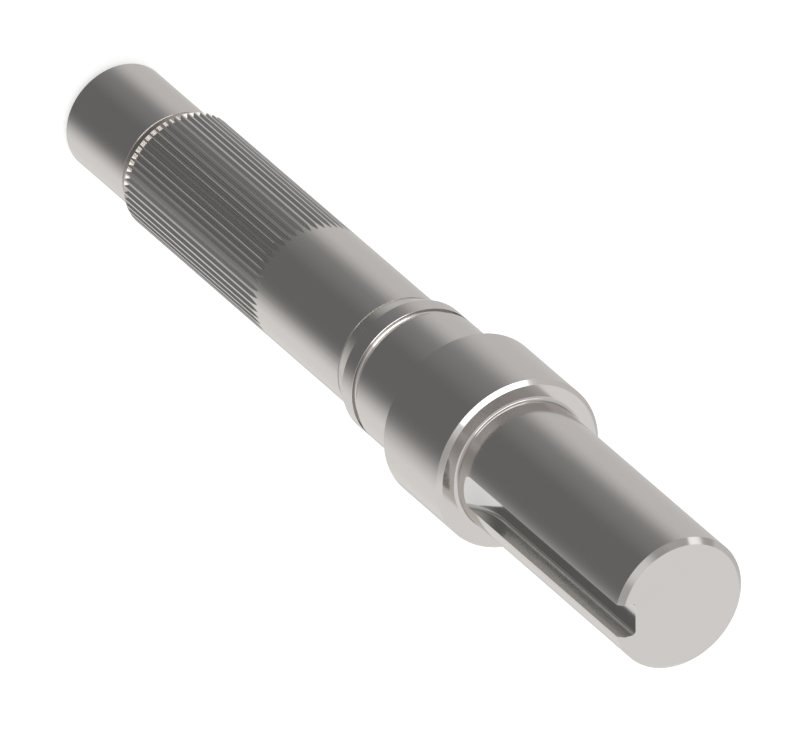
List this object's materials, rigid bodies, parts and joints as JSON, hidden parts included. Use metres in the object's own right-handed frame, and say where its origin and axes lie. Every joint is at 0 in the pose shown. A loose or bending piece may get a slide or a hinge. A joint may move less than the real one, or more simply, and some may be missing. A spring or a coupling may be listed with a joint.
{
  "type": "keyed shaft",
  "caption": "Stepped steel drive shaft: keyed journal, collar, bearing seat with ring groove, fine serrated spline with cutter run-out and a plain pilot journal.",
  "frame": {"origin": "centre of the pilot journal's end face, on which the shaft stands", "axes": "+Z along the shaft's axis towards the keyed end, +X the way that the keyway opens"},
  "size_m": [0.0492, 0.0492, 0.2983],
  "materials": {
    "steel": "fine turned and ground, bright and unplated"
  },
  "bodies": {
    "root": {"keyed_shaft": "steel"}
  },
  "joints": []
}
